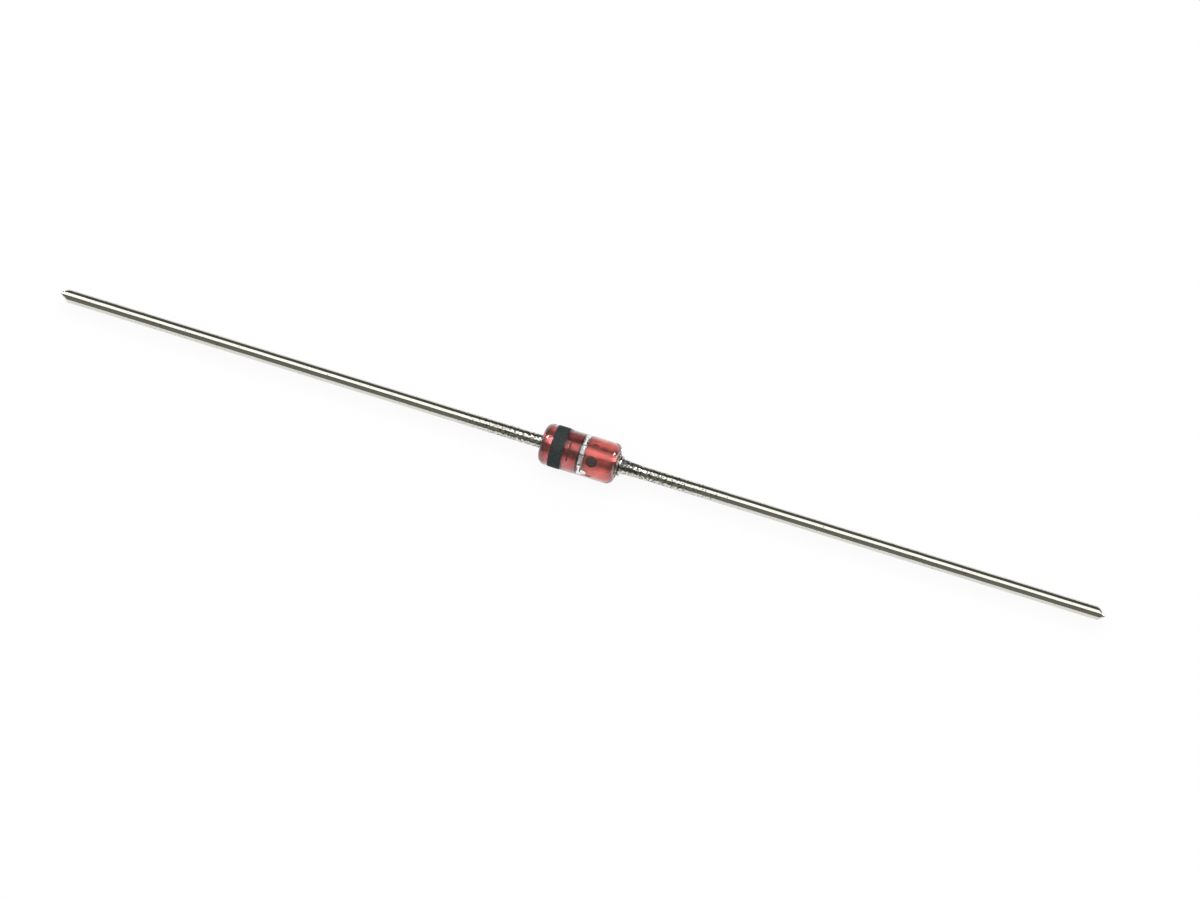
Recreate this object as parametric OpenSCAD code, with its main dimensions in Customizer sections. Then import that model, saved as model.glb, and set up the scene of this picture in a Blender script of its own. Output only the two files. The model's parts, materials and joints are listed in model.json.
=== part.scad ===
// Axial glass regulator diode of double-slug construction, at real size in millimetres.
// The diode's axis is X, with the cathode at -X and the anode at +X, and +Z is up.
// The origin is on the axis, halfway along the glass.

/* [Glass sleeve] */
// Outer diameter of the glass
body_d = 2.42; // [2.2:0.02:2.7]
// Length of the glass
body_l = 4.50; // [4.1:0.05:5.2]
// Radius of the fire-rounded shoulders, limited by the wall
shoulder_r = 0.42; // [0.1:0.01:0.6]
// Least flat ring left between a shoulder and the bore
lip_w = 0.02; // [0.01:0.01:0.06]
// How far the glass sagged in between the slugs
meniscus = 0.06; // [0.02:0.01:0.1]

/* [Slugs] */
// Diameter of the slugs, and so of the glass bore
slug_d = 1.50; // [1.36:0.02:1.7]
// Bevel on the slugs' edges
slug_edge = 0.04; // [0.01:0.01:0.1]
// How far the gap between the slugs lies off the glass's middle, towards the anode
gap_shift = 0.22; // [0:0.01:0.3]
// How far inside the glass the cathode slug ends
cathode_recess = 0.17; // [0.05:0.01:0.25]
// How far inside the glass the anode slug ends
anode_recess = 0.10; // [0.05:0.01:0.25]

/* [Die] */
// Side of the square silicon die
die_w = 0.80; // [0.6:0.02:0.88]
// Thickness of the die
die_t = 0.13; // [0.12:0.01:0.3]
// Diameter of the silver bump on the die's anode side
bump_d = 0.56; // [0.4:0.02:0.6]
// Height of the bump
bump_t = 0.07; // [0.04:0.01:0.12]
// Thickness of the silver contact on the die's cathode side
contact_t = 0.05; // [0.03:0.01:0.1]
// Bare rim of die around that contact
contact_margin = 0.04; // [0:0.01:0.1]

/* [Leads] */
// Diameter of the lead wire
lead_d = 0.77; // [0.71:0.01:0.86]
// Length of each lead beyond the glass
lead_l = 29.1; // [25.4:0.1:38.1]
// Diameter of the weld bead where a lead meets its slug
bead_d = 1.20; // [1:0.01:1.3]
// Thickness of the weld bead
bead_t = 0.14; // [0.1:0.01:0.3]
// Length of the neck between the anode slug and its bead
anode_neck_l = 0.20; // [0.05:0.01:0.3]
// Diameter of the flare where it leaves the bead
flare_d = 0.94; // [0.88:0.01:0.98]
// Length of the flare on the cathode lead, from the bead's middle
cathode_flare_l = 0.16; // [0.12:0.01:0.5]
// Length of the flare on the anode lead, from the bead's middle
anode_flare_l = 0.95; // [0.4:0.01:1.4]
// Angle between the two faces of a pinched-off lead end
tip_angle = 80; // [60:2:120]
// How far the pinched edge lies off the lead's axis
tip_offset = 0.06; // [0:0.01:0.15]
// Turn of the pinched edge about the axis, from upright towards the front
tip_turn = 24; // [0:1:90]

/* [Ink] */
// Thickness of the ink on the glass
ink_t = 0.02; // [0.01:0.005:0.04]
// Width of the band that marks the cathode
band_w = 0.76; // [0.4:0.02:1]
// Distance from the cathode end of the glass to the band
band_from_end = 0.64; // [0.6:0.01:0.9]
// Diameter of the printed dot
dot_d = 0.66; // [0.4:0.02:0.9]
// Distance from the anode end of the glass to the dot's middle
dot_from_end = 1.36; // [1:0.02:1.4]
// Turn of the dot about the axis, from the top towards the front
dot_turn = 36; // [0:1:90]
// Width of the printed bar beside the band
bar_w = 0.08; // [0.04:0.01:0.14]
// Gap between the band and the bar
bar_from_band = 0.29; // [0.1:0.01:0.4]
// Turn of the bar's middle about the axis, from the top towards the front
bar_turn = 28; // [0:1:90]
// Angle that the bar covers around the glass
bar_sweep = 57; // [20:1:120]
// Length along the glass of the dashes on either side of the dot
dash_l = 0.32; // [0.1:0.02:0.6]
// Angle that a dash covers around the glass
dash_sweep = 5; // [3:1:12]
// Turn from the dot to each dash
dash_turn = 50; // [35:1:80]

/* [Hidden] */
$fn = 96;

body_r = body_d / 2;
slug_r = slug_d / 2;
lead_r = lead_d / 2;
bead_r = bead_d / 2;
flare_r = flare_d / 2;
wall = body_r - slug_r;
shoulder = min(shoulder_r, wall - lip_w);

// The die and its contacts fill the gap between the slugs, and the leads start where the slugs end
gap = contact_t + die_t + bump_t;
cathode_face = gap_shift - gap / 2;
anode_face = gap_shift + gap / 2;
die_start = cathode_face + contact_t;
bump_start = die_start + die_t;
cathode_lead_start = body_l / 2 - cathode_recess;
anode_lead_start = body_l / 2 - anode_recess;
lead_tip = body_l / 2 + lead_l;

// The sag is an arc across the gap
meniscus_r = (pow(gap / 2, 2) + pow(meniscus, 2)) / (2 * meniscus);

band_start = band_from_end - body_l / 2;
bar_start = band_start + band_w + bar_from_band;
dot_middle = body_l / 2 - dot_from_end;

// Turns a shape that is built up Z to lie along +X
module along_x() {
    rotate([0, 90, 0]) children();
}

// Half section of the glass: radius across, place along the axis upwards
module glass_section() {
    intersection() {
        translate([slug_r, -body_l / 2]) square([wall, body_l]);
        union() {
            translate([0, shoulder - body_l / 2]) square([body_r, body_l - 2 * shoulder]);
            translate([0, -body_l / 2]) square([body_r - shoulder, body_l]);
            for (end = [-1, 1])
                translate([body_r - shoulder, end * (body_l / 2 - shoulder)]) circle(r = shoulder);
        }
    }
    intersection() {
        translate([slug_r - meniscus + meniscus_r, gap_shift]) circle(r = meniscus_r);
        translate([slug_r - meniscus, cathode_face]) square([meniscus + wall / 2, gap]);
    }
}

module glass_sleeve() {
    color([0.85, 0.9, 0.88, 0.35])
        along_x() rotate_extrude() glass_section();
}

// A bevelled stud along +X, from the place start to the place end
module slug(start, end) {
    color([0.62, 0.16, 0.13])
        along_x() rotate_extrude() polygon([
            [0, start], [slug_r - slug_edge, start], [slug_r, start + slug_edge],
            [slug_r, end - slug_edge], [slug_r - slug_edge, end], [0, end]
        ]);
}

module cathode_slug() {
    slug(-cathode_lead_start, cathode_face);
}

module anode_slug() {
    slug(anode_face, anode_lead_start);
}

module silicon_die() {
    color([0.25, 0.27, 0.32])
        translate([die_start, -die_w / 2, -die_w / 2]) cube([die_t, die_w, die_w]);
}

// A flat button with a round edge
module anode_bump() {
    edge_r = bump_t / 2;
    color("silver")
        translate([bump_start, 0, 0]) along_x() rotate_extrude() {
            square([bump_d / 2 - edge_r, bump_t]);
            translate([bump_d / 2 - edge_r, edge_r]) circle(r = edge_r);
        }
}

module cathode_contact() {
    contact_w = die_w - 2 * contact_margin;
    color("silver")
        translate([cathode_face, -contact_w / 2, -contact_w / 2])
            cube([contact_t, contact_w, contact_w]);
}

// Half section of a weld: a neck, a round-edged bead, and an arc that runs out from it along the wire
module weld_section(neck_l, flare_l) {
    edge_r = bead_t / 2;
    rise = flare_r - lead_r;
    arc_r = (pow(rise, 2) + pow(flare_l, 2)) / (2 * rise);
    square([flare_r, neck_l + edge_r]);
    translate([0, neck_l]) {
        square([bead_r - edge_r, bead_t]);
        translate([bead_r - edge_r, edge_r]) circle(r = edge_r);
        translate([0, edge_r]) difference() {
            square([flare_r, flare_l]);
            translate([lead_r + arc_r, flare_l]) circle(r = arc_r);
        }
    }
}

// What two cutting edges leave of the wire where they met from either side
module pinched_outline(start, edge_place) {
    reach = lead_d;
    run = 1 / tan(tip_angle / 2);
    rotate([tip_turn, 0, 0]) linear_extrude(height = 2 * reach, center = true) polygon([
        [start, -reach], [lead_tip - (reach + edge_place) * run, -reach], [lead_tip, edge_place],
        [lead_tip - (reach - edge_place) * run, reach], [start, reach]
    ]);
}

// A lead along +X, from its weld at start to its pinched end
module lead(start, neck_l, flare_l, edge_place) {
    color([0.78, 0.77, 0.73]) {
        intersection() {
            translate([start, 0, 0]) along_x() cylinder(r = lead_r, h = lead_tip - start);
            pinched_outline(start, edge_place);
        }
        translate([start, 0, 0]) along_x() rotate_extrude() weld_section(neck_l, flare_l);
    }
}

// The cathode's bead lies right on its slug, hidden in the end of the glass
module cathode_lead() {
    mirror([1, 0, 0]) lead(cathode_lead_start, 0, cathode_flare_l, tip_offset);
}

module anode_lead() {
    lead(anode_lead_start, anode_neck_l, anode_flare_l, -tip_offset);
}

// A patch of ink of that width along the axis, wrapped around the glass by sweep degrees
module ink_patch(start, width, turn, sweep) {
    translate([start, 0, 0]) along_x() rotate([0, 0, 180 + turn - sweep / 2])
        rotate_extrude(angle = sweep) translate([body_r, 0]) square([ink_t, width]);
}

module cathode_band() {
    color([0.1, 0.12, 0.12])
        translate([band_start, 0, 0]) along_x() difference() {
            cylinder(r = body_r + ink_t, h = band_w);
            translate([0, 0, -band_w]) cylinder(r = body_r, h = 3 * band_w);
        }
}

module ink_marks() {
    color([0.1, 0.1, 0.1]) {
        intersection() {
            translate([dot_middle - dot_d, 0, 0]) along_x() difference() {
                cylinder(r = body_r + ink_t, h = 2 * dot_d);
                translate([0, 0, -dot_d]) cylinder(r = body_r, h = 4 * dot_d);
            }
            translate([dot_middle, 0, 0]) rotate([dot_turn, 0, 0]) cylinder(d = dot_d, h = body_d);
        }
        ink_patch(bar_start, bar_w, bar_turn, bar_sweep);
        for (side = [-1, 1])
            ink_patch(dot_middle - dash_l / 2, dash_l, dot_turn + side * dash_turn, dash_sweep);
    }
}

glass_sleeve();
cathode_slug();
anode_slug();
silicon_die();
anode_bump();
cathode_contact();
cathode_lead();
anode_lead();
cathode_band();
ink_marks();
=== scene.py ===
"""An axial glass regulator diode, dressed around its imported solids. Lengths are in metres."""
import json
import math

import bmesh
import bpy
import numpy as np
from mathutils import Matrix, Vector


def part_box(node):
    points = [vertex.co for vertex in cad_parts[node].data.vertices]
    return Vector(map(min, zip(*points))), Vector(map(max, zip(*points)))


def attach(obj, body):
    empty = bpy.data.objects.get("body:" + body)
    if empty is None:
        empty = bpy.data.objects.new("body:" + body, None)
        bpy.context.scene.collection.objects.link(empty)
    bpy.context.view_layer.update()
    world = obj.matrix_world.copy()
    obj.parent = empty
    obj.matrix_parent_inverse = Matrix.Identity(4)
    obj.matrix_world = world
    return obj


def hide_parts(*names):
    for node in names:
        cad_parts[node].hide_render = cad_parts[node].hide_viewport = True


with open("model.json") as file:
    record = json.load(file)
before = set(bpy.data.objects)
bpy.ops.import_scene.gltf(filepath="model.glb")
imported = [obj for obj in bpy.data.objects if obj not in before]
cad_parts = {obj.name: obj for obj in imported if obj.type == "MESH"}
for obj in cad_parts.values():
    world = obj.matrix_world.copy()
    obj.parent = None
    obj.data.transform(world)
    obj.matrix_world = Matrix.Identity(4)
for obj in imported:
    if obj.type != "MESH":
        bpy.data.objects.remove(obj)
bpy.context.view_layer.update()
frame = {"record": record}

# Silicon chip
# A square of silicon, sawn from a polished wafer, so its edges are dull and finely scored.
# It is held by the pressure of the two slugs, through the silver plated on its two faces.
MM = 0.001
MICRON = 1e-6
RING_STEPS = 96
EDGE_STEPS = 7
MERGE_REACH = 0.02 * MICRON
SHARP_ANGLE = math.radians(35)
CHIP_EDGE = 8 * MICRON
CHIP_CORNER = 16.0
SAW_STRETCH = (1, 30, 30)
SAW_SCALE = 1.5
SAW_DEPTH = 2 * MICRON
SILICON_GREYS = ((0.60, 0.56, 0.63, 1), (0.80, 0.76, 0.82, 1))
SILICON_ROUGHNESS = (0.25, 0.45)


class Wire:
    """A shader socket that takes part in arithmetic: each operator adds the Math node that does it."""

    def __init__(self, tree, socket=None):
        self.tree = tree
        self.socket = socket

    def make(self, kind, settings=None, sockets=None, out=0):
        """Adds a node of that kind, sets its settings, then each socket's value or link."""
        node = self.tree.nodes.new(kind)
        for key, value in (settings or {}).items():
            setattr(node, key, value)
        for key, value in (sockets or {}).items():
            if isinstance(value, Wire):
                self.tree.links.new(value.socket, node.inputs[key])
            else:
                node.inputs[key].default_value = value
        return Wire(self.tree, node.outputs[out] if len(node.outputs) else None)

    def math(self, operation, first, second=0.0):
        """The result of one Math node on these two values."""
        return self.make("ShaderNodeMath", {"operation": operation}, {0: first, 1: second})

    def __add__(self, other):
        return self.math("ADD", self, other)

    def __radd__(self, other):
        return self.math("ADD", other, self)

    def __sub__(self, other):
        return self.math("SUBTRACT", self, other)

    def __rsub__(self, other):
        return self.math("SUBTRACT", other, self)

    def __mul__(self, other):
        return self.math("MULTIPLY", self, other)

    def __rmul__(self, other):
        return self.math("MULTIPLY", other, self)

    def __abs__(self):
        return self.math("ABSOLUTE", self)

    def fade(self, low, high):
        """0 up to low, 1 from high on, and a smooth rise between them."""
        return self.make("ShaderNodeMapRange", {"interpolation_type": "SMOOTHSTEP"},
                         {"Value": self, "From Min": low, "From Max": high})

    def span(self, low, high):
        """The number low where this value is 0, and high where it is 1."""
        return low + (high - low) * self

    def blend(self, start, end):
        """The colour start where this value is 0, and end where it is 1. In the Mix node, colours go in at
        sockets 6 and 7 and come out at 2."""
        return self.make("ShaderNodeMix", {"data_type": "RGBA"}, {0: self, 6: start, 7: end}, out=2)


def new_finish(name):
    """An empty material, and a wire into its node tree."""
    material = bpy.data.materials.new(name)
    material.use_nodes = True
    material.node_tree.nodes.clear()
    return material, Wire(material.node_tree)


def place_on_object(tree, stretch=(1, 1, 1)):
    """The place on the object in millimetres, with each axis multiplied by its stretch."""
    place = tree.make("ShaderNodeTexCoord", out="Object")
    scale = [value / MM for value in stretch]
    return tree.make("ShaderNodeMapping", {"vector_type": "POINT"}, {"Vector": place, "Scale": scale})


def noise(tree, place, scale, detail=3.0):
    """Cloudy noise from 0 to 1, with that many blotches to the millimetre."""
    return tree.make("ShaderNodeTexNoise", None, {"Vector": place, "Scale": scale, "Detail": detail})


def raised(tree, height, depth):
    """The normal of a surface that this height, from 0 to 1, raises by depth."""
    return tree.make("ShaderNodeBump", None, {"Height": height, "Distance": depth, "Strength": 1.0})


def finish_with(tree, shader_sockets):
    """Ends the tree in one Principled surface with these sockets."""
    shader = tree.make("ShaderNodeBsdfPrincipled", None, shader_sockets)
    tree.make("ShaderNodeOutputMaterial", None, {"Surface": shader})


def ring_angles(count=RING_STEPS):
    """Even steps round the axis, from +Y towards +Z."""
    return np.linspace(0.0, 2 * np.pi, count, endpoint=False)


def carried_section(x, radius, angles):
    """A section carried along X: the point at place x, and that radius from the axis at each angle.
    x and radius may vary by row alone, or by row and angle."""
    rows = len(x)
    shape = (rows, len(angles))
    x = np.broadcast_to(np.reshape(x, (rows, -1)), shape)
    radius = np.broadcast_to(np.reshape(radius, (rows, -1)), shape)
    return np.stack([x, radius * np.cos(angles), radius * np.sin(angles)], axis=-1)


def quads(grid, wrap_rows, wrap_columns, first):
    """Four corners for each cell of a grid of points, where wrapped edges join the last to the first."""
    rows, columns = grid.shape[:2]
    index = first + np.arange(rows * columns).reshape(rows, columns)
    index = np.vstack([index, index[:1]]) if wrap_rows else index
    index = np.hstack([index, index[:, :1]]) if wrap_columns else index
    corners = [index[:-1, :-1], index[:-1, 1:], index[1:, 1:], index[1:, :-1]]
    return np.stack(corners, axis=-1).reshape(-1, 4)


def add_piece(name, sheets, material, node):
    """Joins sheets of points into one closed mesh that rides with the part and stands for a node.
    Each sheet is a grid of points and whether its rows and its columns wrap round."""
    points, faces, first = [], [], 0
    for grid, wrap_rows, wrap_columns in sheets:
        faces.append(quads(grid, wrap_rows, wrap_columns, first))
        points.append(grid.reshape(-1, 3))
        first += len(points[-1])
    mesh = bpy.data.meshes.new(name)
    mesh.from_pydata(np.concatenate(points).tolist(), [], np.concatenate(faces).tolist())
    work = bmesh.new()
    work.from_mesh(mesh)
    bmesh.ops.remove_doubles(work, verts=work.verts, dist=MERGE_REACH)
    bmesh.ops.recalc_face_normals(work, faces=work.faces)
    work.to_mesh(mesh)
    work.free()
    mesh.shade_smooth()
    mesh.set_sharp_from_angle(angle=SHARP_ANGLE)
    mesh.materials.append(material)
    piece = bpy.data.objects.new(name, mesh)
    bpy.context.scene.collection.objects.link(piece)
    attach(piece, "root")
    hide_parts(node)
    return piece


def rounded_bar(start, end, reach, first_edge, last_edge, steps=EDGE_STEPS):
    """Profile of a round-edged bar along X: its places and radii, closed on the axis at both ends.
    Each edge is a quarter circle of its own radius."""
    quarter = np.linspace(0.0, np.pi / 2, steps)
    inset, rise = 1 - np.cos(quarter), np.sin(quarter) - 1
    x = np.concatenate([[start], start + first_edge * inset, end - last_edge * inset[::-1], [end]])
    radius = np.concatenate([[0.0], reach + first_edge * rise, reach + last_edge * rise[::-1], [0.0]])
    return x, radius


def superellipse_reach(angles, power):
    """Radius of a superellipse of half width 1: the sizes of cosine and sine, each to that power, are
    summed, and the radius is one over that root of the sum. Power 2 is a circle, a high one a square."""
    return (np.abs(np.cos(angles)) ** power + np.abs(np.sin(angles)) ** power) ** (-1 / power)


def silicon_finish():
    """Grey silicon with a lilac cast, duller along its scored edges."""
    material, tree = new_finish("sawn_silicon")
    score = noise(tree, place_on_object(tree, SAW_STRETCH), SAW_SCALE)
    finish_with(tree, {
        "Base Color": score.blend(*SILICON_GREYS),
        "Metallic": 1.0,
        "Roughness": score.span(*SILICON_ROUGHNESS),
        "Normal": raised(tree, score, SAW_DEPTH),
    })
    return material


angles = ring_angles()
square = superellipse_reach(angles, CHIP_CORNER)
chip_low, chip_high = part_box("silicon_die")
chip_x, chip_reach = rounded_bar(chip_low.x, chip_high.x, chip_high.y, CHIP_EDGE, CHIP_EDGE)
chip = carried_section(chip_x, chip_reach[:, None] * square, angles)
add_piece("chip", [(chip, False, True)], silicon_finish(), "silicon_die")

# Silver contacts of the chip
# A round button is plated up on the anode side, and a thin square pad covers the cathode side.
# Both are soft matt silver, squeezed a little against the slugs when the glass was sealed.
PAD_EDGE = 10 * MICRON
SILVER_GRAIN_SCALE = 40.0
SILVER_GRAIN_DEPTH = 2 * MICRON
SILVER_SHADES = ((0.80, 0.79, 0.75, 1), (0.92, 0.91, 0.88, 1))
SILVER_ROUGHNESS = (0.25, 0.40)


def silver_finish():
    """Matt plated silver with a fine grain."""
    material, tree = new_finish("plated_silver")
    grain = noise(tree, place_on_object(tree), SILVER_GRAIN_SCALE)
    finish_with(tree, {
        "Base Color": grain.blend(*SILVER_SHADES),
        "Metallic": 1.0,
        "Roughness": grain.span(*SILVER_ROUGHNESS),
        "Normal": raised(tree, grain, SILVER_GRAIN_DEPTH),
    })
    return material


silver = silver_finish()
bump_low, bump_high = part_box("anode_bump")
bump_edge = (bump_high.x - bump_low.x) / 2
bump_x, bump_reach = rounded_bar(bump_low.x, bump_high.x, bump_high.y, bump_edge, bump_edge)
bump = carried_section(bump_x, bump_reach, angles)
add_piece("bump", [(bump, False, True)], silver, "anode_bump")

pad_low, pad_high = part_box("cathode_contact")
pad_x, pad_reach = rounded_bar(pad_low.x, pad_high.x, pad_high.y, PAD_EDGE, PAD_EDGE)
pad = carried_section(pad_x, pad_reach[:, None] * square, angles)
add_piece("contact_pad", [(pad, False, True)], silver, "cathode_contact")

# Slugs
# Two short studs of nickel-iron clad in copper, cut from drawn rod and borated to a red oxide.
# Molten glass wets the oxide and turns it deep red, and the faces that press on the chip are plated bright.
# Painted shade darkens the edge beside the gap, the outer end and one side over the highlight, and a
# painted highlight lies on a line near the anode's outer end.
GLASS_GRIP = 3 * MICRON
OUTER_BEVEL = 0.04 * MM
INNER_BEVEL = 0.012 * MM
SLUG_EDGE_STEPS = 9
SLUG_REDS = {
    "cathode": ((0.48, 0.080, 0.086, 1), (0.74, 0.150, 0.140, 1)),
    "anode": ((0.62, 0.090, 0.085, 1), (0.88, 0.165, 0.130, 1)),
}
STREAK_STRETCH = (1.2, 9, 9)
STREAK_SCALE = 1.6
STREAK_DEPTH = 3 * MICRON
CLOUD_SCALE = 1.9
CLOUD_SHARE = 0.65
RED_RANGE = (0.32, 0.68)
SPOT_SCALE = 14.0
SPOT_RANGE = (0.60, 0.75)
SPOT_SHARE = 0.5
SPOT_RED = (0.80, 0.28, 0.24, 1)
OXIDE_ROUGHNESS = (0.28, 0.40)
GLOSS_SHARE = 0.32
GLOSS_RANGE = (0.09 * MM, 0.27 * MM)
GLOSS_ROUGHNESS = 0.10
# Tints beside the gap, by the distances from it at which each starts to go and is gone
PLATED_RANGE = (3 * MICRON, 8 * MICRON)
PLATED_COLOUR = (0.82, 0.80, 0.78, 1)
# Painted shade: a black edge on each slug beside the gap, where shade falls between the slug and the chip
GAP_SHADE_RANGE = {"cathode": (0.112 * MM, 0.14 * MM), "anode": (0.04 * MM, 0.05 * MM)}
GAP_SHADE_BLACK = (0.035, 0.026, 0.022, 1)
HEAT_REACH = 0.6 * MM
HEAT_SHARE = {"cathode": 0.45, "anode": 0.60}
HEAT_BROWN = (0.24, 0.060, 0.052, 1)
DULL_RANGE = (0.2 * MM, 1.0 * MM)
DULL_SHARE = {"cathode": 0.0, "anode": 0.14}
# Tints at the outer end, by the distance from it: a dark brown face and painted shade towards the end.
# A line of painted highlight lies between the two ranges of its start and stop
END_RANGE = (0.7 * OUTER_BEVEL, OUTER_BEVEL)
END_DULL = 0.2
END_BROWN = (0.10, 0.045, 0.035, 1)
# Painted shade: the slug darkens towards its outer end, under the glass shoulder
END_SHADE_REACH = {"cathode": 0.42 * MM, "anode": 0.45 * MM}
END_SHADE_SHARE = {"cathode": 0.80, "anode": 0.92}
END_SHADE_BROWN = (0.10, 0.035, 0.030, 1)
HIGHLIGHT_LINE_START = (0.072 * MM, 0.09 * MM)
HIGHLIGHT_LINE_STOP = (0.144 * MM, 0.16 * MM)
HIGHLIGHT_LINE_SHARE = {"cathode": 0.0, "anode": 0.45}
HIGHLIGHT_LINE_PINK = (0.90, 0.58, 0.55, 1)
# Where the painted highlight line is left out, and the side painted dark as shade over the highlight,
# by a way across the axis and a range of distance that way
LINE_GAP_WAY = (-0.21, 0.98)
LINE_GAP_RANGE = (0.69 * MM, 0.735 * MM)
HIGHLIGHT_SHADE_WAY = {"cathode": (0.60, 0.80), "anode": (0.0, 1.0)}
HIGHLIGHT_SHADE_RANGE = {"cathode": (-0.15 * MM, 0.52 * MM), "anode": (0.62 * MM, 0.745 * MM)}
HIGHLIGHT_SHADE_CLEAR_END = {"cathode": 1.0 * MM, "anode": 0.1 * MM}
HIGHLIGHT_SHADE_SHARE = {"cathode": 0.90, "anode": 0.76}
HIGHLIGHT_SHADE_REDS = {"cathode": (0.19, 0.014, 0.010, 1), "anode": (0.13, 0.004, 0.001, 1)}


def coordinate(tree, axis):
    """The place on the object along one axis, in metres."""
    place = tree.make("ShaderNodeTexCoord", out="Object")
    return tree.make("ShaderNodeSeparateXYZ", None, {0: place}, out=axis)


def towards(tree, way):
    """How far a point lies from the axis in a way across it, which is given by its shares of Y and Z."""
    return way[0] * coordinate(tree, "Y") + way[1] * coordinate(tree, "Z")


def red_slug_finish(side, inner_end, outer_end):
    """Red copper oxide over metal, in drawn streaks and cloudy patches under a thin gloss. Heat browned it
    beside the gap, the outer end face is dark brown, and the face on the chip is plated. Painted shade
    darkens the edge at the gap, the outer end and the side over the highlight, and a painted highlight lies
    on a line near the outer end."""
    material, tree = new_finish(f"{side}_red_oxide")
    along = coordinate(tree, "X")
    off_gap = abs(along - inner_end)
    off_end = abs(along - outer_end)
    streak = noise(tree, place_on_object(tree, STREAK_STRETCH), STREAK_SCALE, detail=4.0)
    cloud = noise(tree, place_on_object(tree), CLOUD_SCALE)
    spot = noise(tree, place_on_object(tree), SPOT_SCALE, detail=2.0).fade(*SPOT_RANGE)
    depth = (CLOUD_SHARE * cloud + (1 - CLOUD_SHARE) * streak).fade(*RED_RANGE)
    plated = 1 - off_gap.fade(*PLATED_RANGE)
    # painted shade: the black edge beside the gap
    gap_shade = 1 - off_gap.fade(*GAP_SHADE_RANGE[side])
    heat = HEAT_SHARE[side] * (1 - off_gap.fade(0.0, HEAT_REACH))
    dull = DULL_SHARE[side] * (1 - off_gap.fade(*DULL_RANGE))
    face = 1 - off_end.fade(*END_RANGE)
    # painted shade: the slug darkens towards its outer end
    painted_shade = END_SHADE_SHARE[side] * (1 - off_end.fade(0.0, END_SHADE_REACH[side]))
    # painted shade: one side darkened where the highlight falls, to damp it
    highlight_shade = towards(tree, HIGHLIGHT_SHADE_WAY[side]).fade(*HIGHLIGHT_SHADE_RANGE[side])
    highlight_shade = HIGHLIGHT_SHADE_SHARE[side] * (highlight_shade * off_end.fade(0.0, HIGHLIGHT_SHADE_CLEAR_END[side]))
    # painted highlight: a pale line near the outer end, left out where a lamp's reflection lies
    highlight_line = off_end.fade(*HIGHLIGHT_LINE_START) * (1 - off_end.fade(*HIGHLIGHT_LINE_STOP))
    line_gap = towards(tree, LINE_GAP_WAY).fade(*LINE_GAP_RANGE)
    highlight_line = HIGHLIGHT_LINE_SHARE[side] * (highlight_line * (1 - line_gap))
    red = depth.blend(*SLUG_REDS[side])
    red = (SPOT_SHARE * spot).blend(red, SPOT_RED)
    red = heat.blend(red, HEAT_BROWN)
    red = highlight_shade.blend(red, HIGHLIGHT_SHADE_REDS[side])
    red = painted_shade.blend(red, END_SHADE_BROWN)
    red = highlight_line.blend(red, HIGHLIGHT_LINE_PINK)
    red = face.blend(red, END_BROWN)
    red = gap_shade.blend(red, GAP_SHADE_BLACK)
    finish_with(tree, {
        "Base Color": plated.blend(red, PLATED_COLOUR),
        "Metallic": 1.0,
        "Roughness": cloud.span(*OXIDE_ROUGHNESS) + END_DULL * face + dull,
        "Normal": raised(tree, streak, STREAK_DEPTH),
        "Coat Weight": GLOSS_SHARE * off_end.fade(*GLOSS_RANGE),
        "Coat Roughness": GLOSS_ROUGHNESS,
    })
    return material


for side in ("cathode", "anode"):
    slug_low, slug_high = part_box(f"{side}_slug")
    if side == "cathode":
        inner_end, outer_end = slug_high.x, slug_low.x
        edges = (OUTER_BEVEL, INNER_BEVEL)
    else:
        inner_end, outer_end = slug_low.x, slug_high.x
        edges = (INNER_BEVEL, OUTER_BEVEL)
    slug_r = slug_high.y + GLASS_GRIP
    slug_x, slug_reach = rounded_bar(slug_low.x, slug_high.x, slug_r, *edges, steps=SLUG_EDGE_STEPS)
    slug = carried_section(slug_x, slug_reach, angles)
    red_oxide = red_slug_finish(side, inner_end, outer_end)
    add_piece(f"{side}_stud", [(slug, False, True)], red_oxide, f"{side}_slug")

# Leads
# Drawn copper wire with a bright tin plating, butt-welded to the slugs and pinched off at the free ends.
# The weld leaves a bead and a rough flare, and near the heat of the seal the tin is lumpy and stained.
LEAD_STEPS = 144
NEAR_STEPS = 300
FAR_STEPS = 100
PINCH_TURN = math.radians(24)
PINCH_SLOPE = math.tan(math.radians(50))
PINCH_PLACE = {"cathode": 0.06 * MM, "anode": -0.06 * MM}
PINCH_BLUNT = 0.015 * MM
PINCH_ROUND = 0.025 * MM
PINCH_STEEP = 4.0
TAPER_ROOM = 1.1
TRIM_STEPS = 12
CAP_STEPS = 33
BEAD_THICKNESS = 0.14 * MM
BEAD_STEPS = 15
BEAD_STEPS_IN_FLARE = 3
FLARE_RADIUS = 0.47 * MM
FLARE_LENGTH = {"cathode": 0.16 * MM, "anode": 0.95 * MM}
FLARE_STEPS = 60
FLARE_CLEAR_OF_BEAD = 0.95
NECK_LENGTH = {"cathode": 0.0, "anode": 0.20 * MM}
NECK_STEP = 0.04 * MM
# Height of the plating's waves, how many lie to the metre, and the most of them round the wire
PLATING_DRAWS = 48
PLATING_SEED = {"cathode": 11, "anode": 23}
LUMP_HEIGHT = 4.0 * MICRON
LUMP_WAVES = (1800, 5500)
LUMP_TURNS = 12
PIT_HEIGHT = 1.5 * MICRON
PIT_WAVES = (5000, 11000)
PIT_TURNS = 24
SWELL_HEIGHT = 1.2 * MICRON
SWELL_WAVES = (100, 700)
SWELL_TURNS = 2
LUMP_REACH = 2.2 * MM
CALM_REACH = 1.0 * MM
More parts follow.
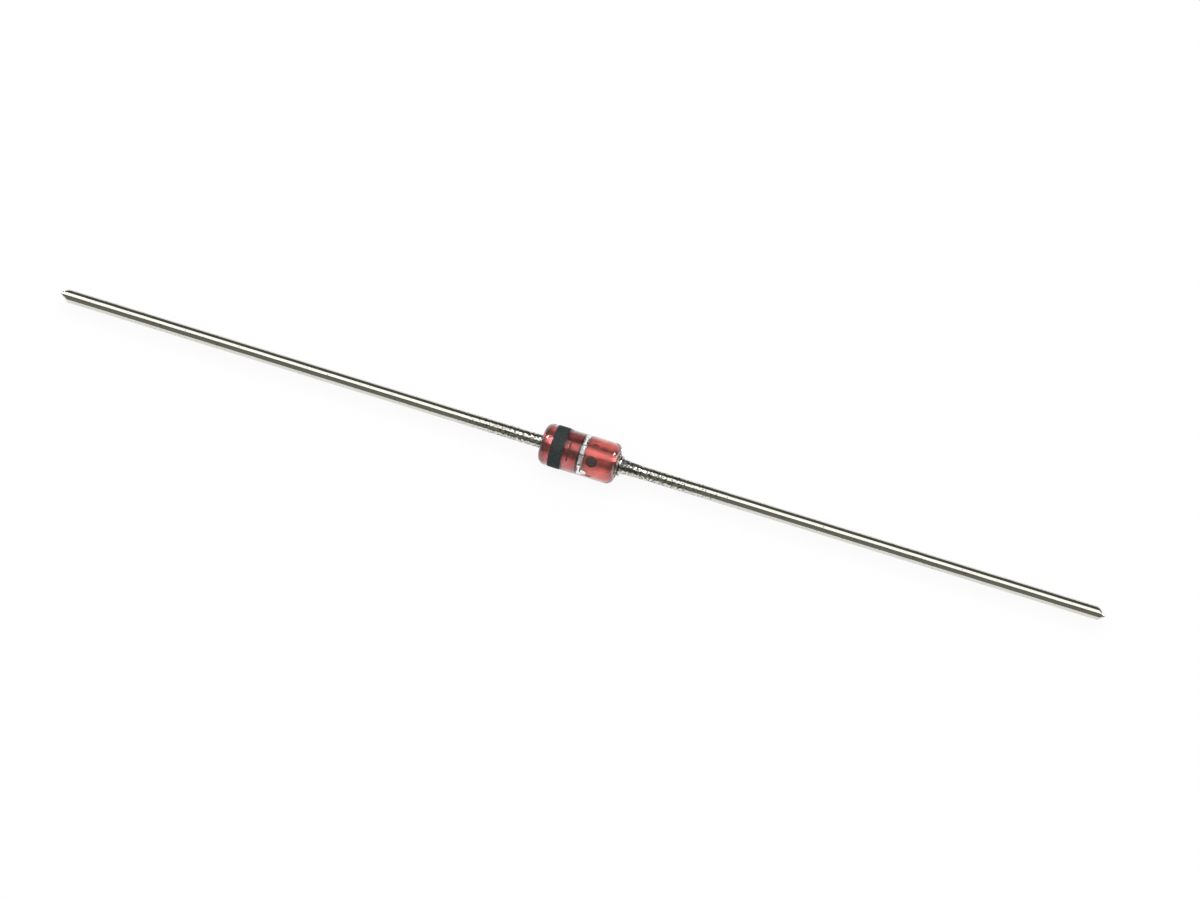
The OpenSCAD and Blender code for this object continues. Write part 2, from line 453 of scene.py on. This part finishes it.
# The tin's finish, and its marks by distance from the slug. Starts and stops are shares of the weld
TIN_GREYS = ((0.62, 0.61, 0.555, 1), (0.75, 0.74, 0.69, 1))
TIN_RANGE = (0.3, 0.7)
TIN_ROUGHNESS = (0.06, 0.12)
TIN_RELIEF = 0.5 * MICRON
LINES_STRETCH = (0.25, 14, 14)
LINES_SCALE = 2.2
LINES_SHARE = 0.6
TIN_GRAIN_SCALE = 11.0
FROST_START = 0.3
FROST_REACH = 6.0 * MM
FROST_GRAIN = 3
STAIN_SCALE = 8.0
STAIN_RANGE = (0.62, 0.72)
STAIN_REACH = 7.0 * MM
STAIN_NEAR_GLASS = 0.15
STAIN_SHARE = 0.9
STAIN_GREY = (0.13, 0.13, 0.115, 1)
WELD_START = 0.95
WELD_STOP = 0.85
WELD_PER_FLARE = 1.2
WELD_DULL = 0.2
WELD_GRAIN = 6
WELD_GREYS = ((0.12, 0.12, 0.11, 1), (0.72, 0.71, 0.68, 1))
SPECK_SCALE = 7.0
SPECK_RANGE = (0.59, 0.66)
# Painted light: the weld's side towards the front and the floor is left bright tin, for the floor's
# reflection
FLOOR_SIDE_WAY = (-0.92, -0.39)
FLOOR_SIDE_RANGE = (0.08 * MM, 0.26 * MM)
ROOT_RANGE = {"cathode": (0.128 * MM, 0.16 * MM), "anode": (0.16 * MM, 0.20 * MM)}
ROOT_DULL = 0.3
# Painted shade: the cathode's root in the recess is dark brown; the anode's root is pale pinkish grey
ROOT_SHADE_AND_TINT = {"cathode": (0.15, 0.085, 0.070, 1), "anode": (0.58, 0.49, 0.47, 1)}


def ripples(x, angles, along, around, seed):
    """Smooth random height of about unit size over a wire: a sum of sines with drawn directions.
    along gives the range of waves to the metre, and around the most waves round the wire."""
    draw = np.random.default_rng(seed)
    waves = draw.uniform(*along, PLATING_DRAWS) * 2 * np.pi
    turns = draw.integers(-around, around + 1, PLATING_DRAWS)
    phase = draw.uniform(0, 2 * np.pi, PLATING_DRAWS)
    height = np.zeros((len(x), len(angles)))
    for wave, turn, start in zip(waves, turns, phase):
        height += np.sin(wave * x[:, None] + turn * angles[None, :] + start)
    return height / math.sqrt(PLATING_DRAWS / 2)


def weld_profile(wire_r, neck_l, bead_r, flare_l):
    """Places from the slug and radii of a weld: a straight neck, a disc with a half-round edge, then an arc
    that falls from the neck's radius at the disc's middle to the wire over flare_l."""
    neck_x = np.arange(0.0, neck_l, NECK_STEP)
    neck_radius = np.full(len(neck_x), FLARE_RADIUS)
    edge = BEAD_THICKNESS / 2
    half_turn = np.linspace(0.0, np.pi, BEAD_STEPS)[:-BEAD_STEPS_IN_FLARE]
    bead_x = neck_l + edge * (1 - np.cos(half_turn))
    bead_radius = bead_r - edge + edge * np.sin(half_turn)
    middle = neck_l + edge
    flare_x = np.linspace(middle, middle + flare_l, FLARE_STEPS)
    rise = FLARE_RADIUS - wire_r
    arc = (rise ** 2 + flare_l ** 2) / (2 * rise)
    left = middle + flare_l - flare_x
    flare_radius = wire_r + arc - np.sqrt(arc ** 2 - left ** 2)
    clear = flare_x > neck_l + FLARE_CLEAR_OF_BEAD * BEAD_THICKNESS
    x = np.concatenate([neck_x, bead_x, flare_x[clear]])
    return x, np.concatenate([neck_radius, bead_radius, flare_radius[clear]])


def tinned_finish(side, start, bead_end, weld_length):
    """Bright tin with fine drawing lines, frosted and stained near the glass. The weld beyond its bead is
    dull and dark with bright specks, but its side towards the front and the floor stays bright tin, painted
    lighter there for the floor's reflection. Its root in the glass is painted dark brown as shade in the
    recess at the cathode, and pale pinkish grey at the anode."""
    material, tree = new_finish(f"{side}_tin")
    off_slug = abs(coordinate(tree, "X") - start)
    lines = noise(tree, place_on_object(tree, LINES_STRETCH), LINES_SCALE, detail=4.0)
    grain = noise(tree, place_on_object(tree), TIN_GRAIN_SCALE)
    frost = 1 - off_slug.fade(FROST_START * weld_length, weld_length + FROST_REACH)
    near_glass = 1 - off_slug.fade(weld_length, weld_length + STAIN_REACH)
    stain = noise(tree, place_on_object(tree), STAIN_SCALE) + STAIN_NEAR_GLASS * near_glass
    stain = STAIN_SHARE * stain.fade(*STAIN_RANGE)
    past_bead = off_slug.fade(WELD_START * bead_end, bead_end)
    weld = past_bead * (1 - off_slug.fade(WELD_STOP * weld_length, weld_length))
    # painted light: the side towards the front and the floor stays bright
    weld = weld * (1 - towards(tree, FLOOR_SIDE_WAY).fade(*FLOOR_SIDE_RANGE))
    speck = noise(tree, place_on_object(tree), SPECK_SCALE, detail=2.0).fade(*SPECK_RANGE)
    root = 1 - off_slug.fade(*ROOT_RANGE[side])
    tin = (LINES_SHARE * lines + (1 - LINES_SHARE) * grain).fade(*TIN_RANGE).blend(*TIN_GREYS)
    tin = stain.blend(tin, STAIN_GREY)
    tin = weld.blend(tin, speck.blend(*WELD_GREYS))
    finish_with(tree, {
        "Base Color": root.blend(tin, ROOT_SHADE_AND_TINT[side]),
        "Metallic": 1.0,
        "Roughness": lines.span(*TIN_ROUGHNESS) + WELD_DULL * weld + ROOT_DULL * root,
        "Normal": raised(tree, lines + (WELD_GRAIN * weld + FROST_GRAIN * frost) * grain, TIN_RELIEF),
    })
    return material


def pinched_lead(start, tip, wire_r, weld, edge_place, seed):
    """A wire from its weld at start to its pinched tip, with the cut as a roof across the wire.
    The roof falls back from its edge by PINCH_SLOPE times the distance across from it, and a steep
    chamfer runs along its border with the wall."""
    way = 1.0 if tip > start else -1.0
    length = abs(tip - start)
    weld_x, weld_radius = weld
    taper = (wire_r + abs(edge_place)) * PINCH_SLOPE + PINCH_ROUND * PINCH_STEEP
    near = np.linspace(weld_x[-1], weld_x[-1] + FROST_REACH, NEAR_STEPS)[1:]
    far = np.linspace(near[-1], length - TAPER_ROOM * taper, FAR_STEPS)[1:]
    along = np.concatenate([[0.0], weld_x, near, far])
    radius = np.concatenate([[0.0], weld_radius, np.full(len(near) + len(far), wire_r)])
    angles = ring_angles(LEAD_STEPS)
    near_weld = np.exp(-np.maximum(along - weld_x[-1], 0) / LUMP_REACH)[:, None]
    lump = LUMP_HEIGHT * near_weld * ripples(along, angles, LUMP_WAVES, LUMP_TURNS, seed)
    pit = PIT_HEIGHT * near_weld * ripples(along, angles, PIT_WAVES, PIT_TURNS, seed + 2)
    swell = SWELL_HEIGHT * ripples(along, angles, SWELL_WAVES, SWELL_TURNS, seed + 1)
    calm = np.clip((along[-1] - along) / CALM_REACH, 0.0, 1.0) * (radius > 0)
    radius = radius[:, None] + calm[:, None] * (lump + pit + swell)
    wall = carried_section(along, radius, angles)

    def roof(across):
        """Place of the roof along the wire, blunted at its edge as a hyperbola."""
        return length - PINCH_SLOPE * np.sqrt((across - edge_place) ** 2 + PINCH_BLUNT ** 2)

    def half_chord(across):
        """Half the wire's width at that distance across from its axis."""
        return np.sqrt(np.maximum(wire_r ** 2 - across ** 2, 0.0))

    across = wire_r * np.sin(angles)
    wall_end = roof(across) - PINCH_STEEP * np.minimum(PINCH_ROUND, half_chord(across))
    trim = along[-1] + np.linspace(0.0, 1.0, TRIM_STEPS)[1:, None] * (wall_end - along[-1])
    wall = np.concatenate([wall, carried_section(trim, np.full(trim.shape, wire_r), angles)])
    quarter = LEAD_STEPS // 4
    across = (wire_r * np.sin(angles[np.arange(-quarter, quarter + 1)]))[:, None]
    share = np.sin(np.linspace(-np.pi / 2, np.pi / 2, CAP_STEPS))[None, :]
    chord = half_chord(across)
    chord[[0, -1]] = 0.0
    soft = np.minimum(PINCH_ROUND, chord)
    drop = PINCH_STEEP * np.clip(soft - chord * (1 - np.abs(share)), 0.0, None)
    cap = np.stack(np.broadcast_arrays(roof(across) - drop, share * chord, across), axis=-1)
    turned = []
    for grid in (wall, cap):
        edge_way, across = grid[..., 1], grid[..., 2]
        y = across * math.cos(PINCH_TURN) - edge_way * math.sin(PINCH_TURN)
        z = across * math.sin(PINCH_TURN) + edge_way * math.cos(PINCH_TURN)
        turned.append(np.stack([start + way * grid[..., 0], y, z], axis=-1))
    return [(turned[0], False, True), (turned[1], False, False)]


mounts = {mount["name"]: mount for mount in frame["record"]["mounts"]}
wire_r = mounts["anode_lead"]["dims"]["r_mm"] * MM
for side in ("cathode", "anode"):
    lead_low, lead_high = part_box(f"{side}_lead")
    start, tip = (lead_high.x, lead_low.x) if side == "cathode" else (lead_low.x, lead_high.x)
    weld = weld_profile(wire_r, NECK_LENGTH[side], lead_high.y, FLARE_LENGTH[side])
    bead_end = NECK_LENGTH[side] + BEAD_THICKNESS
    tin = tinned_finish(side, start, bead_end, bead_end + WELD_PER_FLARE * FLARE_LENGTH[side])
    lead = pinched_lead(start, tip, wire_r, weld, PINCH_PLACE[side], PLATING_SEED[side])
    add_piece(f"{side}_wire", lead, tin, f"{side}_lead")

# Glass sleeve
# A length of clear lead-glass tube, shrunk onto the slugs in the sealing furnace, which rounded its ends.
# Between the slugs the soft glass sagged into the gap in small beads, with painted shade in the creases
# between them, and the air trapped there shines like silver.
GLASS_STEPS = 360
SHOULDER = 0.42 * MM
SHOULDER_STEPS = 20
LIP_ROUND = 0.015 * MM
LIP_STEPS = 5
STRAIGHT_STEPS = 62
SAG = 0.06 * MM
SAG_STEPS = 33
SAG_IN_CREASE = 0.05
BEADS = 4.0
BEAD_BREAK = math.radians(117)
BEAD_ROUNDNESS = 0.6
# Shifts of the beads round the gap: size in radians, how many to a turn, and phase
BEAD_SHIFTS = ((0.04, 3, 0.7), (0.02, 5, 2.1))
POCKET_LENGTH = 0.32 * MM
POCKET_STEPS = 25
POCKET_DEPTH = 0.03 * MM
POCKET_ANGLE = math.radians(196)
POCKET_SPREAD = math.radians(9)
GLASS_WAVE_HEIGHT = 2.0 * MICRON
GLASS_WAVES = (150, 600)
GLASS_WAVE_TURNS = 3
GLASS_WAVE_SEED = 5
WAVY_SHOULDER = 0.3
CREASE_HEIGHT = 0.55
CREASE_RANGE = (0.2, 0.7)
# Painted shade: black in the creases between the beads
CREASE_SHADE_BLACK = (0.02, 0.015, 0.012, 1)
GLASS_TINT = (0.985, 0.99, 0.98, 1)
GLASS_IOR = 1.52
GLASS_CLEARNESS = 0.97
GLASS_SHADE = (0.20, 0.20, 0.20, 1)


def glass_finish():
    """Clear glass, painted dark as shade in its creases, that lets the lamps' light through to what it
    covers.
    """
    material, tree = new_finish("clear_lead_glass")
    painted_shade = tree.make("ShaderNodeAttribute", {"attribute_name": "crease_shade"}, out="Fac")
    glass = tree.make("ShaderNodeBsdfPrincipled", None, {
        "Base Color": painted_shade.fade(*CREASE_RANGE).blend(GLASS_TINT, CREASE_SHADE_BLACK),
        "Roughness": 0.0,
        "IOR": GLASS_IOR,
        "Transmission Weight": GLASS_CLEARNESS,
    })
    through = tree.make("ShaderNodeBsdfTransparent", None, {"Color": GLASS_SHADE})
    shadow = tree.make("ShaderNodeLightPath", out="Is Shadow Ray")
    mixed = tree.make("ShaderNodeMixShader", None, {0: shadow, 1: glass, 2: through})
    tree.make("ShaderNodeOutputMaterial", None, {"Surface": mixed})
    return material


def glass_profile(low, high, outer, bore, gap):
    """Closed section of the sleeve as places and radii: round lips and shoulders outside, and a plain bore.
    Also gives each point's share of the sag, a parabola across the gap, and of the air pocket, a parabola
    along the bore beside the gap."""
    lip_turn = np.linspace(0.0, np.pi / 2, LIP_STEPS)
    lip_x = low + LIP_ROUND * (1 - np.sin(lip_turn))
    lip_r = bore + LIP_ROUND * (1 - np.cos(lip_turn))
    turn = np.linspace(0.0, np.pi / 2, SHOULDER_STEPS)
    arc_x = low + SHOULDER * (1 - np.cos(turn))
    arc_r = outer - SHOULDER + SHOULDER * np.sin(turn)
    left_x = np.concatenate([lip_x, arc_x])
    left_r = np.concatenate([lip_r, arc_r])
    straight = np.linspace(low + SHOULDER, high - SHOULDER, STRAIGHT_STEPS)[1:-1]
    right_x, right_r = low + high - left_x[::-1], left_r[::-1]
    across = np.linspace(1.0, -1.0, SAG_STEPS)
    sag = 1 - across ** 2
    gap_x = (gap[0] + gap[1]) / 2 + across * (gap[1] - gap[0]) / 2
    pocket_x = gap[1] + np.linspace(POCKET_LENGTH, 0.0, POCKET_STEPS)[:-1]
    pocket = 1 - ((pocket_x - gap[1]) / POCKET_LENGTH) ** 2
    x = np.concatenate([left_x, straight, right_x, pocket_x, gap_x])
    straight_r = np.full(len(straight), outer)
    bore_r = np.full(len(pocket_x) + len(gap_x), bore)
    radius = np.concatenate([left_r, straight_r, right_r, bore_r])
    plain = np.zeros(len(x) - len(bore_r))
    sag_share = np.concatenate([plain, np.zeros(len(pocket)), sag])
    pocket_share = np.concatenate([plain, pocket, np.maximum(across, 0)])
    return x, radius, sag_share, pocket_share


def bead_height(angles):
    """Height of the beads round the gap, from 0 in a crease to 1: the size of a sine of slightly uneven
    angles."""
    uneven = angles + sum(size * np.sin(count * angles + phase) for size, count, phase in BEAD_SHIFTS)
    return np.abs(np.sin(BEADS * (uneven - BEAD_BREAK)))


glass_low, glass_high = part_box("glass_sleeve")
glass_r = glass_high.y
gap_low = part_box("cathode_slug")[1].x
gap_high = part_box("anode_slug")[0].x
bore_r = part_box("anode_slug")[1].y
glass_angles = ring_angles(GLASS_STEPS)
sleeve_x, sleeve_r, sag, pocket = glass_profile(
    glass_low.x, glass_high.x, glass_r, bore_r, (gap_low, gap_high))
sag_depth = SAG * (SAG_IN_CREASE + (1 - SAG_IN_CREASE) * bead_height(glass_angles) ** BEAD_ROUNDNESS)
pocket_depth = POCKET_DEPTH * np.exp(-((glass_angles - POCKET_ANGLE) / POCKET_SPREAD) ** 2)
wave = GLASS_WAVE_HEIGHT * ripples(sleeve_x, glass_angles, GLASS_WAVES, GLASS_WAVE_TURNS, GLASS_WAVE_SEED)
outside = (sleeve_r > glass_r - WAVY_SHOULDER * SHOULDER)[:, None]
radius = sleeve_r[:, None] - sag[:, None] * sag_depth + pocket[:, None] * pocket_depth
radius = radius - outside * (wave - wave.min())
sleeve = carried_section(sleeve_x, radius, glass_angles)
tube = add_piece("glass_tube", [(sleeve, True, True)], glass_finish(), "glass_sleeve")

# Painted shade lies in the creases between the beads, from none at CREASE_HEIGHT to full at the bottom
points = np.empty(3 * len(tube.data.vertices))
tube.data.vertices.foreach_get("co", points)
x, y, z = points.reshape(-1, 3).T
in_gap = (x > gap_low) & (x < gap_high) & (np.hypot(y, z) < bore_r + POCKET_DEPTH)
painted_shade = np.clip(1 - bead_height(np.arctan2(z, y)) / CREASE_HEIGHT, 0.0, 1.0) * in_gap
tube.data.attributes.new("crease_shade", "FLOAT", "POINT").data.foreach_set("value", painted_shade)

# Ink
# A band at the cathode end and a few plain marks, rolled onto the glass in dark ink and baked.
# The ink is a thin satin skin that thins out towards its slightly uneven edges.
INK_HOLD = 1.5 * MICRON
INK_ROUGHNESS = (0.55, 0.75)
INK_SHINE = 0.08
INK_RELIEF = 3 * MICRON
MOTTLE_SCALE = 7.0
MOTTLE_RANGE = (0.25, 0.75)
FINE_SCALE = 45.0
FINE_SHARE = 0.6
BAND_GREENS = ((0.024, 0.033, 0.032, 1), (0.042, 0.052, 0.050, 1))
BAND_STEPS = 240
BAND_INSET = 0.01 * MM
BAND_WAVE_HEIGHT = 3 * MICRON
BAND_WAVES = (0, 1)
BAND_WAVE_TURNS = 24
BAND_WAVE_SEED = 7
# Section of the band: shares of its width, and the share of the ink's thickness at each
BAND_ACROSS = (0.0, 0.0, 0.02, 0.05, 0.09, 0.25, 0.5, 0.75, 0.91, 0.95, 0.98, 1.0, 1.0)
BAND_HEIGHT = (0.0, 0.15, 0.3, 0.5, 0.68, 0.85, 0.95, 0.85, 0.68, 0.5, 0.3, 0.15, 0.0)
MARK_BROWNS = ((0.045, 0.030, 0.028, 1), (0.085, 0.055, 0.050, 1))
MARK_THICKNESS = 0.4
MARK_STEPS = 160
MARK_RINGS = 10
MARK_RIM = 0.1
MARK_EDGE_THICKNESS = 0.25
UNEVEN_SIZE = 0.03
UNEVEN_TURNS = (2, 3, 5, 9)
# Each mark's outline is a superellipse of its own power, with its own seed for the uneven edge
DOT_RADIUS = 0.33 * MM
DOT_TURN = math.radians(36)
DOT_POWER = 2.0
DOT_SEED = 3
BAR_HALF_WIDTH = 0.04 * MM
BAR_HALF_SWEEP = math.radians(28.5)
BAR_TURN = math.radians(28)
BAR_POWER = 8.0
BAR_SEED = 4
DASH_HALF_LENGTH = 0.16 * MM
DASH_HALF_SWEEP = math.radians(2.5)
DASH_TURN = math.radians(50)
DASH_POWER = 6.0
DASH_SEEDS = (5, 6)


def ink_finish(name, dark, light):
    """Dark baked ink between two shades, with a fine mottle."""
    material, tree = new_finish(name)
    mottle = noise(tree, place_on_object(tree), MOTTLE_SCALE, detail=4.0)
    fine = noise(tree, place_on_object(tree), FINE_SCALE, detail=2.0)
    finish_with(tree, {
        "Base Color": mottle.fade(*MOTTLE_RANGE).blend(dark, light),
        "Roughness": mottle.span(*INK_ROUGHNESS),
        "Normal": raised(tree, FINE_SHARE * fine + (1 - FINE_SHARE) * mottle, INK_RELIEF),
        "Specular IOR Level": INK_SHINE,
    })
    return material


def ink_skin(middle, half_along, turn, half_around, glass_r, thickness, power, seed):
    """A patch of ink on the glass: an outline grown from its middle, thick inside and thin at the edge.
    The outline is a superellipse in the unrolled plane, with a few drawn sines that make it uneven."""
    steps = ring_angles(MARK_STEPS)
    share = np.linspace(0.0, 1 - MARK_RIM, MARK_RINGS)
    share = np.concatenate([share, [1 - MARK_RIM / 2, 1.0]])[:, None]
    draw = np.random.default_rng(seed)
    phases = draw.uniform(0, 2 * np.pi, len(UNEVEN_TURNS))
    uneven = 1 + sum(UNEVEN_SIZE / count * np.sin(count * steps + phase)
                     for count, phase in zip(UNEVEN_TURNS, phases))
    reach = superellipse_reach(steps, power) * uneven
    along = middle + share * half_along * reach * np.cos(steps)
    around = turn + share * half_around * reach * np.sin(steps)
    inside = np.clip((1 - share) / MARK_RIM, 0.0, 1.0)
    thick = MARK_EDGE_THICKNESS + (1 - MARK_EDGE_THICKNESS) * inside
    under = np.full(along.shape, glass_r - INK_HOLD)
    over = under + (thickness + INK_HOLD) * thick
    sheets = []
    for radius in (over, under):
        sheets.append(np.stack([along, -radius * np.sin(around), radius * np.cos(around)], axis=-1))
    edge = np.stack([sheets[0][-1], sheets[1][-1]])
    return [(sheets[0], False, True), (edge, False, True), (sheets[1], False, True)]


band_low, band_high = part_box("cathode_band")
ink_thickness = band_high.z - glass_high.z
band_angles = ring_angles(BAND_STEPS)
band_wave = ripples(np.zeros(1), band_angles, BAND_WAVES, BAND_WAVE_TURNS, BAND_WAVE_SEED)
low_edge = band_low.x + BAND_INSET + BAND_WAVE_HEIGHT * band_wave
high_edge = band_high.x - BAND_INSET + BAND_WAVE_HEIGHT * band_wave
band_x = low_edge + np.array(BAND_ACROSS)[:, None] * (high_edge - low_edge)
band_r = glass_r - INK_HOLD + np.array(BAND_HEIGHT) * (ink_thickness + INK_HOLD)
band = carried_section(band_x, band_r, band_angles)
band_ink = ink_finish("baked_green_ink", *BAND_GREENS)
add_piece("band_ink", [(band, True, True)], band_ink, "cathode_band")

marks_low, marks_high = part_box("ink_marks")
dot_x = marks_high.x - DOT_RADIUS
bar_x = marks_low.x + BAR_HALF_WIDTH
dash_turns = (DOT_TURN - DASH_TURN, DOT_TURN + DASH_TURN)
skin = (glass_r, MARK_THICKNESS * ink_thickness)
marks = ink_skin(dot_x, DOT_RADIUS, DOT_TURN, DOT_RADIUS / glass_r, *skin, DOT_POWER, DOT_SEED)
marks += ink_skin(bar_x, BAR_HALF_WIDTH, BAR_TURN, BAR_HALF_SWEEP, *skin, BAR_POWER, BAR_SEED)
for turn, seed in zip(dash_turns, DASH_SEEDS):
    marks += ink_skin(dot_x, DASH_HALF_LENGTH, turn, DASH_HALF_SWEEP, *skin, DASH_POWER, seed)
mark_ink = ink_finish("baked_brown_ink", *MARK_BROWNS)
add_piece("print_ink", marks, mark_ink, "ink_marks")

# Floor
# A white sheet under the diode, which lies on its glass.
# It looks white, and keeps a faint shadow.
FLOOR_REACH = 3.0
SHADOW_SHARE = 0.10
PAPER_COLOUR = (0.98, 0.98, 0.98, 1)
WHITE = (1, 1, 1, 1)


def floor_finish():
    """White paper: mostly plain white to the eye, to metal and to glass, with a share of shaded paper."""
    material, tree = new_finish("white_paper")
    seen = tree.make("ShaderNodeLightPath", out="Is Camera Ray")
    seen = seen + tree.make("ShaderNodeLightPath", out="Is Glossy Ray")
    seen = seen + tree.make("ShaderNodeLightPath", out="Is Transmission Ray")
    paper = tree.make("ShaderNodeBsdfDiffuse", None, {"Color": PAPER_COLOUR})
    white = tree.make("ShaderNodeEmission", None, {"Color": WHITE, "Strength": 1.0})
    share = (1 - SHADOW_SHARE) * seen.math("MINIMUM", seen, 1.0)
    mixed = tree.make("ShaderNodeMixShader", None, {0: share, 1: paper, 2: white})
    tree.make("ShaderNodeOutputMaterial", None, {"Surface": mixed})
    return material


floor_mesh = bpy.data.meshes.new("floor")
spread = FLOOR_REACH * np.array([(-1, -1), (1, -1), (1, 1), (-1, 1)])
floor_points = np.column_stack([spread, np.full(len(spread), band_low.z)])
floor_mesh.from_pydata(floor_points.tolist(), [], [(0, 1, 2, 3)])
floor_mesh.materials.append(floor_finish())
floor = bpy.data.objects.new("floor", floor_mesh)
bpy.context.scene.collection.objects.link(floor)

# Light
# One broad soft box hangs overhead, a little behind the diode, and two small lamps at either side give
# glints. The rest of the room is dim to metal and glass, where it shows as dark stripes, and it lights
# dull surfaces evenly.
ROOM_BACK = (0.085, 0.085, 0.073, 1)
ROOM_FRONT = (0.18, 0.18, 0.157, 1)
ROOM_FILL = (0.65, 0.65, 0.65, 1)
FRONT_RANGE = (-0.75, 0.1)


def soft_box(name, elevation, azimuth, distance, size, radiance, lights_paper=True):
    """A rectangular lamp that faces the diode, with that brightness to the eye. One that doesn't light
    the paper shows only as a glint. Angles are in degrees."""
    lamp = bpy.data.lights.new(name, "AREA")
    lamp.shape = "RECTANGLE"
    lamp.size, lamp.size_y = size
    lamp.energy = radiance * math.pi * size[0] * size[1]
    holder = bpy.data.objects.new(name, lamp)
    rise, turn = math.radians(elevation), math.radians(azimuth)
    holder.location = distance * np.array([
        math.sin(turn) * math.cos(rise), -math.cos(turn) * math.cos(rise), math.sin(rise)])
    holder.rotation_euler = (math.pi / 2 - rise, 0.0, turn)
    holder.visible_diffuse = lights_paper
    bpy.context.scene.collection.objects.link(holder)


soft_box("overhead_box", elevation=84, azimuth=180, distance=0.6, size=(0.9, 0.509), radiance=1.4)
soft_box("left_lamp", elevation=57.1, azimuth=244.2, distance=0.7, size=(0.25, 0.25), radiance=34.0,
         lights_paper=False)
soft_box("right_lamp", elevation=38.5, azimuth=131.3, distance=0.7, size=(0.18, 0.26), radiance=32.0,
         lights_paper=False)

world = bpy.data.worlds.new("room")
world.use_nodes = True
world.node_tree.nodes.clear()
room = Wire(world.node_tree)
direction = room.make("ShaderNodeTexCoord", out="Generated")
front = 1 - room.make("ShaderNodeSeparateXYZ", None, {0: direction}, out="Y").fade(*FRONT_RANGE)
tone = front.blend(ROOM_BACK, ROOM_FRONT)
tone = room.make("ShaderNodeLightPath", out="Is Diffuse Ray").blend(tone, ROOM_FILL)
tone = room.make("ShaderNodeLightPath", out="Is Camera Ray").blend(tone, WHITE)
sky = room.make("ShaderNodeBackground", None, {"Color": tone, "Strength": 1.0})
room.make("ShaderNodeOutputWorld", None, {"Surface": sky})
bpy.context.scene.world = world
bpy.context.scene.view_settings.view_transform = "Standard"

# Camera
# A long lens looks down steeply from the front, a little towards the anode end.
# The middle of the glass lies at GLASS_PIXEL in the photograph's frame.
PHOTO_WIDTH = 1200
PHOTO_HEIGHT = 899
GLASS_PIXEL = (580.2, 453.6)
PIXELS_PER_METRE = 17580.0
CAMERA_ELEVATION = math.radians(66)
CAMERA_AZIMUTH = math.radians(18.64)
CAMERA_DISTANCE = 0.6
CAMERA_CLIP_START = 0.01
CAMERA_CLIP_END = 20.0
SENSOR_WIDTH = 36.0

camera = bpy.data.cameras.new("camera")
camera.sensor_width = SENSOR_WIDTH
camera.lens = SENSOR_WIDTH * CAMERA_DISTANCE * PIXELS_PER_METRE / PHOTO_WIDTH
camera.clip_start = CAMERA_CLIP_START
camera.clip_end = CAMERA_CLIP_END
sin_a, cos_a = math.sin(CAMERA_AZIMUTH), math.cos(CAMERA_AZIMUTH)
sin_e, cos_e = math.sin(CAMERA_ELEVATION), math.cos(CAMERA_ELEVATION)
back = np.array([sin_a * cos_e, -cos_a * cos_e, sin_e])
right = np.array([cos_a, sin_a, 0.0])
up = np.array([-sin_a * sin_e, cos_a * sin_e, cos_e])
aim = (PHOTO_WIDTH / 2 - GLASS_PIXEL[0]) * right + (GLASS_PIXEL[1] - PHOTO_HEIGHT / 2) * up
viewer = bpy.data.objects.new("camera", camera)
viewer.location = aim / PIXELS_PER_METRE + CAMERA_DISTANCE * back
viewer.rotation_euler = (math.pi / 2 - CAMERA_ELEVATION, 0.0, CAMERA_AZIMUTH)
bpy.context.scene.collection.objects.link(viewer)
bpy.context.scene.camera = viewer
